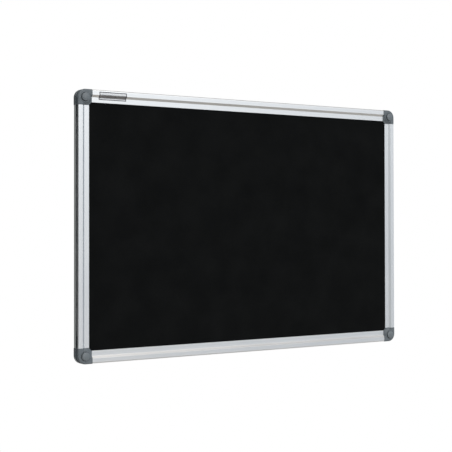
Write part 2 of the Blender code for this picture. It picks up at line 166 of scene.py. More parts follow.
class Shell:
    """One piece's surface as patches. Neighbouring patches hold the same points along their seam."""

    def __init__(self):
        self.points, self.faces, self.count = [], [], 0

    def add(self, points, faces):
        """Takes in one patch, whose faces count from its own first point."""
        points = np.asarray(points, float).reshape(-1, 3)
        self.points.append(points)
        self.faces += (np.asarray(faces) + self.count).tolist()
        self.count += len(points)

    def grid(self, rows, wrap=False, closed=None):
        """Each row joined to the next by quads. closed says which columns of quads are made."""
        rows = np.asarray(rows, float)
        index = np.arange(rows.shape[0] * rows.shape[1]).reshape(rows.shape[:2])
        if wrap:
            index = np.hstack([index, index[:, :1]])
        quads = np.stack([index[:-1, :-1], index[:-1, 1:], index[1:, 1:], index[1:, :-1]], axis=2)
        if closed is not None:
            quads = quads[:, closed]
        self.add(rows, quads.reshape(-1, 4))

    def lid(self, loop):
        """One flat face inside a loop."""
        self.add(loop, [range(len(loop))])

    def fill(self, loops, lift):
        """A flat patch of triangles inside the first loop and outside the others."""
        sizes = [len(loop) for loop in loops]
        rings = np.split(np.arange(sum(sizes)), np.cumsum(sizes)[:-1])
        flat = [Vector(point) for point in np.vstack(loops)]
        inside_with_holes = 2
        made = geometry.delaunay_2d_cdt(flat, [], [r.tolist() for r in rings], inside_with_holes, WELD)
        self.add(lift(np.array([tuple(point) for point in made[0]])), made[2])

    def piece(self, name, place):
        """The welded mesh as an object. place turns the drawing's points into points of the frame."""
        mesh = bpy.data.meshes.new(name)
        mesh.from_pydata(place(np.vstack(self.points)), [], self.faces)
        bm = bmesh.new()
        bm.from_mesh(mesh)
        bmesh.ops.remove_doubles(bm, verts=bm.verts, dist=WELD)
        bmesh.ops.recalc_face_normals(bm, faces=bm.faces)
        loose = sum(not edge.is_manifold for edge in bm.edges)
        bm.to_mesh(mesh)
        bm.free()
        mark_bends(mesh)
        print(f"{name}: {len(mesh.polygons)} faces, {loose} open edges")
        return finished(name, mesh)


def finished(name, mesh):
    """Smooth shading that leaves flat faces flat: each normal leans towards its largest face."""
    mesh.shade_smooth()
    mesh.set_sharp_from_angle(angle=SHARP_ANGLE)
    made = bpy.data.objects.new(name, mesh)
    bpy.context.scene.collection.objects.link(made)
    modifier = made.modifiers.new("Flat faces stay flat", "WEIGHTED_NORMAL")
    modifier.keep_sharp = True
    return made


def mark_bends(mesh):
    """Stores how tightly the surface bends outwards at each vertex, in 1/m, for wear along edges.

    For an edge from a to b that is normal(a) . (a - b) / |a - b|^2, and a vertex keeps its largest.
    """
    count = len(mesh.vertices)
    place, normal = np.empty(count * 3, np.float32), np.empty(count * 3, np.float32)
    ends = np.empty(len(mesh.edges) * 2, np.int32)
    mesh.vertices.foreach_get("co", place)
    mesh.vertex_normals.foreach_get("vector", normal)
    mesh.edges.foreach_get("vertices", ends)
    place, normal, ends = place.reshape(-1, 3), normal.reshape(-1, 3), ends.reshape(-1, 2)
    bend = np.zeros(count, np.float32)
    for here, there in ((ends[:, 0], ends[:, 1]), (ends[:, 1], ends[:, 0])):
        span = place[here] - place[there]
        np.maximum.at(bend, here, (normal[here] * span).sum(1) / (span**2).sum(1))
    mesh.attributes.new("bend", "FLOAT", "POINT").data.foreach_set("value", bend)


def dress(piece, material, body, slot, *nodes):
    """Gives a piece its finish and its body, and hides the solids that it stands for. The slot is not
    used.
    """
    piece.data.materials.append(material)
    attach(piece, body)
    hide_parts(*nodes)


# %% [markdown]
# ## Tools for finishes
# A finish is arithmetic on noise: streaks here, a little rougher there. Written with nodes alone it
# is hard to read, so one small class lets Python's own signs add the nodes. `1 - mask` adds a Math
# node, and `node` adds any other one, with its settings first and its inputs after.

# %% Shader arithmetic
# A Mix node has sockets for every kind of value, so those for colours go by their numbers.
FIRST_COLOUR, SECOND_COLOUR, MIXED_COLOUR = 6, 7, 2


class Wire:
    """One value on its way through a node tree."""

    def __init__(self, tree, socket=None):
        self.tree, self.socket = tree, socket

    def node(self, kind, settings, values, output=0):
        """Adds a node of any kind, sets it up, and gives the wire that leaves one of its outputs."""
        made = self.tree.nodes.new(kind)
        for name, setting in settings.items():
            setattr(made, name, setting)
        for name, value in values.items():
            plug(self.tree, value, made.inputs[name])
        return Wire(self.tree, made.outputs[output])

    def maths(self, operation, *values):
        """Adds a Math node."""
        return self.node("ShaderNodeMath", {"operation": operation}, dict(enumerate(values)))

    def vector(self, operation, *values, output=0):
        """Adds a Vector Math node."""
        settings = {"operation": operation}
        return self.node("ShaderNodeVectorMath", settings, dict(enumerate(values)), output)

    def __add__(self, other):
        return self.maths("ADD", self, other)

    def __sub__(self, other):
        return self.maths("SUBTRACT", self, other)

    def __rsub__(self, other):
        return self.maths("SUBTRACT", other, self)

    def __mul__(self, other):
        return self.maths("MULTIPLY", self, other)

    __radd__ = __add__
    __rmul__ = __mul__

    def most(self, other):
        """The larger of the two."""
        return self.maths("MAXIMUM", self, other)

    def least(self, other):
        """The smaller of the two."""
        return self.maths("MINIMUM", self, other)

    def size(self):
        """The value without its sign."""
        return self.maths("ABSOLUTE", self)

    def step(self, low, high):
        """Rises smoothly from 0 at low to 1 at high."""
        values = {"Value": self, "From Min": low, "From Max": high}
        return self.node("ShaderNodeMapRange", {"interpolation_type": "SMOOTHSTEP"}, values)

    def scaled(self, factors):
        """A vector with a factor for each axis."""
        return self.vector("MULTIPLY", self, factors)

    def dot(self, direction):
        """The cosine between two directions."""
        return self.vector("DOT_PRODUCT", self, direction, output="Value")

    def axes(self):
        """The three numbers of a vector."""
        return [self.node("ShaderNodeSeparateXYZ", {}, {0: self}, axis) for axis in "XYZ"]

    def noise(self, scale, detail=2.0, roughness=0.5):
        """Smooth noise from 0 to 1 at this point, with scale in cells per metre."""
        values = {"Vector": self, "Scale": scale, "Detail": detail, "Roughness": roughness}
        return self.node("ShaderNodeTexNoise", {}, values, "Fac")

    def mix(self, first, second):
        """The first colour where this is 0 and the second where it is 1."""
        values = {0: self, FIRST_COLOUR: first, SECOND_COLOUR: second}
        return self.node("ShaderNodeMix", {"data_type": "RGBA"}, values, MIXED_COLOUR)

    def bump(self, height, strength=1.0):
        """A normal from this pattern, whose 0 to 1 stands for a height in metres."""
        values = {"Height": self, "Distance": height, "Strength": strength}
        return self.node("ShaderNodeBump", {}, values)


def plug(tree, value, socket):
    """Links a wire to an input, or sets a plain value on it."""
    if isinstance(value, Wire):
        tree.links.new(value.socket, socket)
    elif isinstance(value, tuple) and len(value) == 3 and len(socket.default_value) == 4:
        socket.default_value = (*value, 1)
    else:
        socket.default_value = value


def finish(name, make):
    """A Principled material. make(place) gives the values of its inputs from Object coordinates."""
    material = bpy.data.materials.new(name)
    material.use_nodes = True
    tree = material.node_tree
    shader = tree.nodes["Principled BSDF"]
    place = Wire(tree).node("ShaderNodeTexCoord", {}, {}, "Object")
    for socket, value in make(place).items():
        plug(tree, value, shader.inputs[socket])
    return material


def attribute(wire, name):
    """A value that is stored on the mesh's vertices."""
    return wire.node("ShaderNodeAttribute", {"attribute_name": name}, {}, "Fac")


# %% [markdown]
# ## The rails
# A rail is one aluminium extrusion: a flat outer band, a sloped step down to a thin lip that holds
# the felt's edge, and behind them a square chamber with a slot in its outer side. The die gives
# every edge a small radius. The whole rail is that section carried along a straight line, so two
# rows of points are enough. Only the back wall needs more, because the frame screws go through it:
# its two faces are left open in the grid and filled round the countersunk holes.

# %% The rail's section
WALL = 0.0012
BAND, SLOPE, DROP, LIP = 0.0115, 0.005, 0.004, 0.0115
OUTER_RADIUS, CHAMBER_RADIUS = 0.0028, 0.0016
STEP_RADIUS, DIE_RADIUS = 0.0004, 0.00025
SLOT_FRONT, SLOT_BACK = 0.0034, 0.0126
FLANGE_FRONT, FLANGE_WIDTH = 0.0168, 0.0068
STEP_END = BAND + SLOPE
FACE_WIDTH = STEP_END + LIP
LIP_BACK = DROP + WALL
WEB_OUTSIDE = BAND + SLOPE / 2
WEB_INSIDE = WEB_OUTSIDE + WALL
SLOPE_WALL = WALL * hypot(SLOPE, DROP) / SLOPE
CHAMBER_BACK = RAIL_DEPTH - WALL
FLANGE_END = WEB_INSIDE + FLANGE_WIDTH
UNDER_SLOPE = (BAND + (WALL - SLOPE_WALL) * SLOPE / DROP, WALL)

rail_section = rounded(
    [(0, 0), (BAND, 0), (STEP_END, DROP),
     (FACE_WIDTH, DROP), (FACE_WIDTH, LIP_BACK), (WEB_INSIDE, LIP_BACK), (WEB_INSIDE, FLANGE_FRONT),
     (FLANGE_END, FLANGE_FRONT), (FLANGE_END, FLANGE_FRONT + WALL), (WEB_INSIDE, FLANGE_FRONT + WALL),
     (WEB_INSIDE, RAIL_DEPTH), (0, RAIL_DEPTH), (0, SLOT_BACK), (WALL, SLOT_BACK), (WALL, CHAMBER_BACK),
     (WEB_OUTSIDE, CHAMBER_BACK), (WEB_OUTSIDE, DROP / 2 + SLOPE_WALL), UNDER_SLOPE,
     (WALL, WALL), (WALL, SLOT_FRONT), (0, SLOT_FRONT)],
    [OUTER_RADIUS, STEP_RADIUS, STEP_RADIUS] + [DIE_RADIUS] * 15 + [CHAMBER_RADIUS] + [DIE_RADIUS] * 2,
    LARGE_STEPS,
)
print("the rail's section has", len(rail_section), "points")

# %% The rails, with their screw holes
SCREW_ALONG, SCREW_ACROSS = 0.0469, 0.0076
HOLE_RADIUS, MOUTH_RADIUS, INNER_MOUTH_RADIUS = 0.00185, 0.0033, 0.00196
HOLE_STEPS = 32


def at_along(along):
    """Puts a section's points (across, depth) at one place along a rail or an arm."""
    return lambda flat: np.column_stack([np.full(len(flat), along), flat])


def sides_at(section, depth):
    """Says of each side of a section, from a point to the next, whether it lies at this depth."""
    level = np.isclose(section[:, 1], depth)
    return level & np.roll(level, -1)


def fill_side(shell, section, side, low, high, holes):
    """The face that one side of a section sweeps from low to high, with holes in it."""
    (place,) = np.flatnonzero(side)
    start, end = section[place, 0], np.roll(section, -1, 0)[place, 0]
    edge = np.array([(low, start), (low, end), (high, end), (high, start)])
    shell.fill([edge, *holes], at_depth(section[place, 1]))


def rail_shell(board_length):
    """The section at both ends, closed by its own outline and joined by quads.

    The two faces of the back wall are filled round the screw holes, and a cone joins their edges.
    """
    shell = Shell()
    half = board_length / 2 - ARM_END - SEAT_GAP
    rows = [at_along(end)(rail_section) for end in (-half, half)]
    outside, inside = sides_at(rail_section, RAIL_DEPTH), sides_at(rail_section, CHAMBER_BACK)
    shell.grid(rows, wrap=True, closed=~(outside | inside))
    for row in rows:
        shell.lid(row)
    screws = SCREW_ALONG - board_length / 2, board_length / 2 - SCREW_ALONG
    mouths, ends = (
        [ring((x, SCREW_ACROSS), radius, HOLE_STEPS) for x in screws]
        for radius in (MOUTH_RADIUS, INNER_MOUTH_RADIUS)
    )
    fill_side(shell, rail_section, outside, -half, half, mouths)
    fill_side(shell, rail_section, inside, -half, half, ends)
    for mouth, end in zip(mouths, ends):
        shell.grid([at_depth(RAIL_DEPTH)(mouth), at_depth(CHAMBER_BACK)(end)], wrap=True)
    return shell


long_rail, short_rail = rail_shell(2 * HALF_WIDTH), rail_shell(2 * HALF_HEIGHT)

# %% [markdown]
# ## Satin anodised aluminium
# The die and the drawing bench leave fine lines along a rail, and the anodic film makes them soft
# and slightly uneven. Noise that is stretched along the rail gives both: the same noise, squeezed
# hundreds of times tighter across than along, drives colour, roughness and a shallow bump. Upright
# rails need it turned, so the finish is a function of its long axis.

# %% The aluminium's finish
BRIGHT_METAL, DULL_METAL, RUBBED_METAL = (0.80, 0.81, 0.82), (0.72, 0.735, 0.755), (0.88, 0.88, 0.88)
LINES_ACROSS, LINES_ALONG, LINE_HEIGHT = 1400, 2, 0.000004
METAL_WEAR = (1200, 3600)


def drawn_aluminium(long_axis):
    """Lines at three widths, 0.7, 3 and 10 mm, and clouds of a hand's width. Tight bends are rubbed."""

    def make(place):
        squeeze = tuple(LINES_ALONG if axis == long_axis else LINES_ACROSS for axis in "xyz")
        fine = place.scaled(squeeze).noise(1.0, 2.0)
        medium = place.scaled(tuple(0.25 * factor for factor in squeeze)).noise(1.0, 1.0)
        broad = place.scaled(tuple(0.07 * factor for factor in squeeze)).noise(1.0, 0.0)
        cloud = place.noise(9.0, 1.0)
        tone = 0.35 * fine + 0.3 * medium + 0.35 * broad
        colour = (0.8 * tone + 0.2 * cloud).step(0.25, 0.75).mix(DULL_METAL, BRIGHT_METAL)
        rubbed = attribute(place, "bend").step(*METAL_WEAR) * cloud.step(0.3, 0.6) * 0.6
        return {
            "Base Color": rubbed.mix(colour, RUBBED_METAL),
            "Metallic": 1.0,
            "Roughness": 0.3 + 0.12 * tone + 0.05 * cloud - 0.06 * rubbed,
            "Normal": (0.6 * fine + 0.4 * medium).bump(LINE_HEIGHT),
        }

    return make


level_aluminium = finish("satin_aluminium_level", drawn_aluminium("x"))
upright_aluminium = finish("satin_aluminium_upright", drawn_aluminium("z"))

# %% Place the four rails
for sides, shell, material in (
    (("top", "bottom"), long_rail, level_aluminium), (("left", "right"), short_rail, upright_aluminium),
):
    for side in sides:
        rail = shell.piece(f"drawn_rail_{side}", along_rail(side))
        dress(rail, material, "board", "satin_aluminium", f"rail_{side}")

# %% [markdown]
# ## The corners
# A corner is one moulding. Seen from the front it repeats the rails' band, slope and lip, but a
# round boss stands in it for the wall screw, and a disc covers the felt's corner. All level lines
# of that front have one form: a straight piece along one arm, an arc round the screw's axis, and
# a straight piece along the other arm. So the whole front is one grid, whose rows are such lines
# at growing distances across, and which goes on behind as the pocket for the panel. A second grid
# carries the outer side, with its rounded front edge and the groove that goes on from the rails'
# slots, round the corner.

# %% The corner's level lines
CORNER_RADIUS, EDGE_RADIUS, CAP_INSET = 0.019, 0.0036, 0.017
BOSS_RADIUS, DISC_RADIUS = 0.012, 0.0196
BORE_RADIUS, BORE_WALL = 0.0055, 0.0025
POCKET_DIAGONAL = 2 * CAP_INSET + sqrt(2) * (BORE_RADIUS + BORE_WALL)
ARM_STEPS, TURN_STEPS = 2, 36
ARM_CHAMFER = 0.00015
SECTION_END = ARM_END - ARM_CHAMFER
SHARES = np.linspace(0, 1, ARM_STEPS + 1)
TURN_SHARES = np.linspace(0, 1, TURN_STEPS + 1)


def arm_line(across, end):
    """Rows of points at this distance across, from the arm's end to where the line turns."""
    along = SECTION_END + (end - SECTION_END) * SHARES
    return np.stack([along, np.broadcast_to(across, along.shape)], axis=2)


def both_arms(line, turn):
    """A line down one arm, the turn, and the line again with its two directions swapped."""
    return np.concatenate([line, turn[:, 1:-1], line[:, ::-1, ::-1]], axis=1)


def level_lines(across, radius):
    """Rows of points: a line at this distance across, until it meets the circle of this radius."""
    across, radius = np.array(across)[:, None], np.array(radius)[:, None]
    meets = CAP_INSET + np.sqrt(radius**2 - (across - CAP_INSET) ** 2)
    start = np.arctan2(across - CAP_INSET, meets - CAP_INSET)
    angles = start + (pi / 2 - 2 * start) * TURN_SHARES
    turn = CAP_INSET + radius[:, :, None] * np.stack([np.cos(angles), np.sin(angles)], axis=2)
    return both_arms(arm_line(across, meets), turn)


def pocket_lines(inset):
    """Rows of points round the panel's pocket: the webs' inner sides, cut off at 45 degrees."""
    near = WEB_INSIDE - np.array(inset)[:, None]
    far = POCKET_DIAGONAL - sqrt(2) * (WEB_INSIDE - near) - near
    turn = np.stack([far + (near - far) * TURN_SHARES, near + (far - near) * TURN_SHARES], axis=2)
    return both_arms(arm_line(near, far), turn)


def outer_lines(inset):
    """Rows of points along the outer sides, drawn in by inset: straight, quarter round, straight."""
    low = np.array(inset)[:, None] - PROUD
    middle = CORNER_RADIUS - PROUD
    angles = -pi / 2 - pi / 2 * TURN_SHARES
    arms = np.full_like(low, SECTION_END)
    turn = middle + (middle - low)[:, :, None] * np.stack([np.cos(angles), np.sin(angles)], axis=1)
    line = np.stack([arms, low], axis=2)
    return np.concatenate([line, turn, line[:, :, ::-1]], axis=1)


# %% The corner's profiles
MOULD_RADIUS, GROOVE_FLOOR = 0.00035, 0.0045
GROOVE_DEPTH = PROUD + GROOVE_FLOOR
INNER_LEVEL = DROP - PROUD
side_profile = rounded_path(
    [(EDGE_RADIUS, -PROUD), (0, -PROUD), (0, SLOT_FRONT), (GROOVE_DEPTH, SLOT_FRONT),
     (GROOVE_DEPTH, SLOT_BACK), (0, SLOT_BACK), (0, WALL_DEPTH), (MOULD_RADIUS, WALL_DEPTH)],
    [EDGE_RADIUS] + [MOULD_RADIUS] * 5, LARGE_STEPS,
)
front_profile = rounded_path(
    [(BAND - STEP_RADIUS, -PROUD), (BAND, -PROUD), (STEP_END, INNER_LEVEL), (FACE_WIDTH, INNER_LEVEL),
     (FACE_WIDTH, LIP_BACK)],
    [STEP_RADIUS, STEP_RADIUS, MOULD_RADIUS], MEDIUM_STEPS,
)
pocket_profile = rounded_path(
    [(0, LIP_BACK), (0, WALL_DEPTH), (MOULD_RADIUS, WALL_DEPTH)], [MOULD_RADIUS],
)
# Lines on the band and the slope turn with the boss, and those at the lip's edge with the disc.
lip_middle = (STEP_END + FACE_WIDTH) / 2
front_radius = front_profile[:, 0] + np.where(
    front_profile[:, 0] > lip_middle, DISC_RADIUS - FACE_WIDTH, BOSS_RADIUS - BAND
)
print("profiles:", len(side_profile), len(front_profile), len(pocket_profile), "points")

# %% The well for the cap and the screw
WELL_RADIUS, WELL_FLOOR, BORE_FLOOR, SCREW_HOLE_RADIUS = 0.0097, 0.0014, 0.006, 0.00275
BORE_END = WALL_DEPTH - BORE_FLOOR
WELL_STEPS = 96
well_profile = rounded_path(
    [(WELL_RADIUS + MOULD_RADIUS, -PROUD), (WELL_RADIUS, -PROUD), (WELL_RADIUS, WELL_FLOOR),
     (BORE_RADIUS, WELL_FLOOR), (BORE_RADIUS, BORE_END), (SCREW_HOLE_RADIUS, BORE_END),
     (SCREW_HOLE_RADIUS, WALL_DEPTH), (SCREW_HOLE_RADIUS + MOULD_RADIUS, WALL_DEPTH)],
    [MOULD_RADIUS] * 6,
)


def turned(profile, centre, steps):
    """Rows of rings: each point of a (radius, depth) profile taken round an axis along the depth."""
    angles = np.arange(steps) * 2 * pi / steps
    radius, depth = profile[:, :1], profile[:, 1:]
    x, y = centre[0] + radius * np.cos(angles), centre[1] + radius * np.sin(angles)
    return np.stack([x, y, np.broadcast_to(depth, x.shape)], axis=2)


# %% [markdown]
# Each arm ends in a leg that plugs into the rail. The legs show in the slots near each corner,
# as a darker floor. A leg is a rounded bar with a drawn-in tip, and has a hole for the frame screw.

# %% The corner's legs and the whole corner
LEG_LENGTH, LEG_TAPER, LEG_RADIUS, LEG_EASE, PILOT_DEPTH = 0.025, 0.001, 0.0008, 0.0003, 0.0088
LEG_END, PILOT_END = ARM_END + LEG_LENGTH, RAIL_DEPTH - PILOT_DEPTH
STRAIGHT_END = LEG_END - LEG_TAPER
LEG_FRONT, LEG_BACK = DROP / 2 + SLOPE_WALL + SEAT_GAP, CHAMBER_BACK - SEAT_GAP
LEG_NEAR, LEG_FAR = GROOVE_FLOOR + LEG_EASE, WEB_OUTSIDE - SEAT_GAP
leg_section = rounded(
    [(LEG_NEAR, LEG_FRONT), (LEG_FAR, LEG_FRONT), (LEG_FAR, LEG_BACK), (LEG_NEAR, LEG_BACK)],
    LEG_RADIUS,
)


def add_leg(shell):
    """The leg of the arm that runs along the first direction, with its pilot hole."""
    tip = drawn_in(leg_section, LEG_TAPER)
    rows = [at_along(x)(leg_section) for x in (ARM_END, STRAIGHT_END)] + [at_along(LEG_END)(tip)]
    back = sides_at(leg_section, LEG_BACK)
    shell.grid(rows[:2], wrap=True, closed=~back)
    shell.grid(rows[1:], wrap=True)
    shell.lid(rows[2])
    hole = ring((SCREW_ALONG, SCREW_ACROSS), HOLE_RADIUS, HOLE_STEPS)
    fill_side(shell, leg_section, back, ARM_END, STRAIGHT_END, [hole])
    shell.grid([at_depth(LEG_BACK)(hole), at_depth(PILOT_END)(hole)], wrap=True)
    shell.lid(at_depth(PILOT_END)(hole))


def at_depths(rows, depths):
    """Rows of flat points, each lifted to its own depth."""
    depth = np.broadcast_to(depths[:, None, None], (*rows.shape[:2], 1))
    return np.concatenate([rows, depth], axis=2)


def corner_shell():
    """Three grids: the side, the front with the pocket, and the well.

    Flat fills close the band's level and the back. Each arm's end is chamfered and filled round its
    leg, once for the first direction and once with the two directions swapped.
    """
    shell = Shell()
    side = at_depths(outer_lines(side_profile[:, 0]), side_profile[:, 1])
    front = at_depths(level_lines(front_profile[:, 0], front_radius), front_profile[:, 1])
    pocket = at_depths(pocket_lines(pocket_profile[:, 0]), pocket_profile[:, 1])
    inner = np.concatenate([front, pocket])
    well = turned(well_profile, (CAP_INSET, CAP_INSET), WELL_STEPS)
    shell.grid(side)
    shell.grid(inner)
    shell.grid(well, wrap=True)
    for row, depth in ((0, -PROUD), (-1, WALL_DEPTH)):
        edge = np.vstack([side[row, :, :2], inner[row, ::-1, :2]])
        shell.fill([edge, well[row, :, :2]], at_depth(depth))
    one_arm = Shell()
    section = np.vstack([side[::-1, 0, 1:], inner[:, 0, 1:]])
    cut = drawn_in(section, ARM_CHAMFER)
    one_arm.grid([at_along(SECTION_END)(section), at_along(ARM_END)(cut)], wrap=True)
    one_arm.fill([cut, leg_section], at_along(ARM_END))
    add_leg(one_arm)
    for swap in ([0, 1, 2], [1, 0, 2]):
        shell.faces += [[i + shell.count for i in face] for face in one_arm.faces]
        shell.points += [points[:, swap] for points in one_arm.points]
        shell.count += one_arm.count
    return shell


# %% [markdown]
# ## Moulded plastic
# The corners are a grey, slightly blue plastic. The mould is spark-eroded, which leaves a fine
# orange-peel grain, and where hands and packaging rub, on the tight edges, it is smoother and a
# little paler. The bend stored on each vertex finds those edges, so no mask has to be painted.

# %% The plastic's finish
GRAIN_HEIGHT = 0.00003
PLASTIC_WEAR = (900, 2800)


def moulded_plastic(dark, light, rubbed_colour, roughness):
    """A two-scale grain, a faint flow mottle, and rubbed edges."""

    def make(place):
        grain = 0.6 * place.noise(2600.0, 1.0) + 0.4 * place.noise(900.0, 1.0)
        mottle = place.noise(120.0, 3.0)
        worn = place.noise(180.0, 2.0).step(0.35, 0.6)
        rubbed = attribute(place, "bend").step(*PLASTIC_WEAR) * worn * 0.7
        colour = (0.7 * mottle + 0.3 * grain).step(0.3, 0.7).mix(dark, light)
        return {
            "Base Color": rubbed.mix(colour, rubbed_colour),
            "Roughness": roughness + 0.12 * mottle - 0.12 * rubbed,
            "Normal": grain.bump(GRAIN_HEIGHT, 0.6),
        }

    return make


corner_plastic = finish("corner_plastic", moulded_plastic(
    dark=(0.117, 0.138, 0.156), light=(0.137, 0.160, 0.180), rubbed_colour=(0.19, 0.21, 0.23),
    roughness=0.46,
))
cap_plastic = finish("cap_plastic", moulded_plastic(
    dark=(0.148, 0.172, 0.192), light=(0.168, 0.194, 0.214), rubbed_colour=(0.22, 0.24, 0.26),
    roughness=0.38,
))

# %% Place the four corners
corner = corner_shell()
for name in CORNERS:
    moulding = corner.piece(f"moulded_corner_{name}", in_corner(name))
    dress(moulding, corner_plastic, "board", "corner_plastic", f"corner_{name}")

# %% [markdown]
# ## The caps
# A cap is a round button that stands in the corner's well. Its skirt, out of sight, grips the bore
# of the wall screw. It is one profile turned about the screw's axis. The top's points lie on a
# sphere, and a full radius takes it over into the straight side, with a dark line of shade below.
# The caps pull off towards the front, so each rides on a body of its own.

# %% The caps
CAP_RADIUS, CAP_RIM_DEPTH, CAP_CROWN, RIM_RADIUS = 0.0092, -0.0042, 0.0016, 0.0018
CAP_UNDER, SKIRT_RADIUS, SKIRT_END, SKIRT_WALL, CAP_CEILING = 0.0011, 0.0052, 0.0059, 0.0012, -0.0026
DOME_POINTS, CAP_STEPS = 20, 72
DOME_END = CAP_RADIUS - 1.2 * RIM_RADIUS
dome_sphere = (CAP_RADIUS**2 + CAP_CROWN**2) / (2 * CAP_CROWN)
dome_reach = np.linspace(0, DOME_END, DOME_POINTS)
dome_depth = CAP_RIM_DEPTH - CAP_CROWN + dome_sphere - np.sqrt(dome_sphere**2 - dome_reach**2)
cap_profile = np.vstack([
    np.column_stack([dome_reach, dome_depth])[:-1],
    rounded_path(
        [(dome_reach[-1], dome_depth[-1]), (CAP_RADIUS, CAP_RIM_DEPTH), (CAP_RADIUS, CAP_UNDER),
         (SKIRT_RADIUS, CAP_UNDER), (SKIRT_RADIUS, SKIRT_END), (SKIRT_RADIUS - SKIRT_WALL, SKIRT_END),
         (SKIRT_RADIUS - SKIRT_WALL, CAP_CEILING), (0, CAP_CEILING)],
        [RIM_RADIUS] + [MOULD_RADIUS] * 5, MEDIUM_STEPS,
    ),
])
cap = Shell()
cap.grid(turned(cap_profile, (CAP_INSET, CAP_INSET), CAP_STEPS), wrap=True)
for name in CORNERS:
    button = cap.piece(f"turned_cap_{name}", in_corner(name))
    dress(button, cap_plastic, f"cap_{name}", "cap_plastic", f"screw_cap_{name}")

# %% [markdown]
# ## The frame screws
# Two countersunk self-tapping screws hold each corner from behind. A turned shape would do for
# the shank, but the thread is a helix and the head has a cross in it. Both are still functions of
# the two parameters of one grid: how far along the profile, and the angle round it. The thread
# adds a ridge whose phase moves on with the angle, and the cross sinks the head's face where a
# point lies inside either of its two tapering bars.

# %% The screws
SHANK_RADIUS, ROOT_RADIUS, HEAD_RADIUS, HEAD_DEPTH = 0.00145, 0.00112, 0.0029, 0.0013
SCREW_LENGTH, TIP_LENGTH, PITCH, RIDGE_SLOPE = 0.0085, 0.002, 0.0011, 3.2
CROSS_REACH, CROSS_HALF_WIDTH, CROSS_DEPTH, CROSS_TAPER = 0.0017, 0.0004, 0.001, 0.00035
HEAD_ROWS, SHANK_ROWS, SCREW_STEPS = 30, 76, 64


def screw_rows():
    """Head face from its middle outwards, the cone under it, then the threaded shank to its point."""
    angles = np.arange(SCREW_STEPS) * 2 * pi / SCREW_STEPS
    face = np.linspace(0, HEAD_RADIUS, HEAD_ROWS)[:, None]
    x, y = face * np.cos(angles), face * np.sin(angles)
    bars = [
        np.minimum((CROSS_REACH - long) / CROSS_TAPER, (CROSS_HALF_WIDTH - short) / CROSS_TAPER + 0.5)
        for long, short in ((np.abs(x), np.abs(y)), (np.abs(y), np.abs(x)))
    ]
    sunk = CROSS_DEPTH * np.clip(np.maximum(*bars), 0, 1)
    head = np.stack([x, y, RAIL_DEPTH - sunk], axis=2)
    behind = np.linspace(HEAD_DEPTH, SCREW_LENGTH, SHANK_ROWS)[:, None]
    point = np.clip((SCREW_LENGTH - behind) / TIP_LENGTH, 0, 1)
    phase = (behind / PITCH + angles / (2 * pi)) % 1
    ridge = np.clip(1 - RIDGE_SLOPE * np.abs(phase - 0.5), 0, 1)
    radius = (ROOT_RADIUS + (SHANK_RADIUS - ROOT_RADIUS) * ridge) * point
    depth = np.broadcast_to(RAIL_DEPTH - behind, radius.shape)
    shank = np.stack([radius * np.cos(angles), radius * np.sin(angles), depth], axis=2)
    return np.concatenate([head, shank])


def zinc_plating(place):
    """Bright zinc with the faint straw and blue bloom of its passivation."""
    bloom = place.noise(500.0, 2.0)
    scratch = place.noise(3200.0, 2.0)
    colour = bloom.step(0.35, 0.65).mix((0.63, 0.62, 0.55), (0.60, 0.62, 0.66))
    return {
        "Base Color": colour,
        "Metallic": 1.0,
        "Roughness": 0.26 + 0.2 * scratch,
        "Normal": scratch.bump(0.000008, 0.5),
    }


SCREW_PLACES = {"level": (SCREW_ALONG, SCREW_ACROSS, 0), "upright": (SCREW_ACROSS, SCREW_ALONG, 0)}
zinc = finish("zinc_steel", zinc_plating)
screw_grid = screw_rows()
for name in CORNERS:
    for kind, place in SCREW_PLACES.items():
        shell = Shell()
        shell.grid(screw_grid + np.array(place), wrap=True)
        screw = shell.piece(f"cross_screw_{name}_{kind}", in_corner(name))
        dress(screw, zinc, "board", "zinc_steel", f"frame_screw_{name}_{kind}")

# %% [markdown]
# ## The felt
# The felt is a 1.2 mm sheet, stretched flat and glued to the softboard, with its edge under the
# rails' lips. A plane with a bump map would look painted, so the face itself is a grid that
# swells by less than a tenth of a millimetre, as glued felt does. Its corners are cut off at 45
# degrees to clear the screws' bosses: each row of the grid ends where that outline ends.

# %% The felt's surface
felt_low, felt_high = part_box("fabric_face")
FELT_HALF_WIDTH, FELT_HALF_HEIGHT = felt_high.x, felt_high.z
FELT_FRONT, FELT_BACK = felt_low.y - FACE_Y, felt_high.y - FACE_Y
FELT_CUT = POCKET_DIAGONAL + sqrt(2) * SEAT_GAP - 2 * (HALF_WIDTH - FELT_HALF_WIDTH)
FELT_EDGE, SWELL, SWELL_FADE = 0.0004, 0.00009, 0.03
SWELL_SEED, SWELL_WAVES, SHORTEST_WAVE, LONGEST_WAVE = 12, 12, 0.012, 0.07
FELT_COLUMNS, MIDDLE_ROWS, CUT_ROWS, EDGE_STEPS = 216, 125, 4, 3


def felt_points(margin):
    """A grid on the rectangle, drawn in by margin. Rows reach less far where a corner is cut."""
    across, up = FELT_HALF_WIDTH - margin, FELT_HALF_HEIGHT - margin
    cut = FELT_CUT - margin * (2 - sqrt(2))
    bottom, top = np.linspace(-up, cut - up, CUT_ROWS + 1), np.linspace(up - cut, up, CUT_ROWS + 1)
    z = np.concatenate([bottom[:-1], np.linspace(cut - up, up - cut, MIDDLE_ROWS), top[1:]])
    reach = across - np.maximum(np.abs(z) - (up - cut), 0)
    x = reach[:, None] * np.linspace(-1, 1, FELT_COLUMNS)
    return np.stack([x, np.broadcast_to(z[:, None], x.shape)], axis=2)


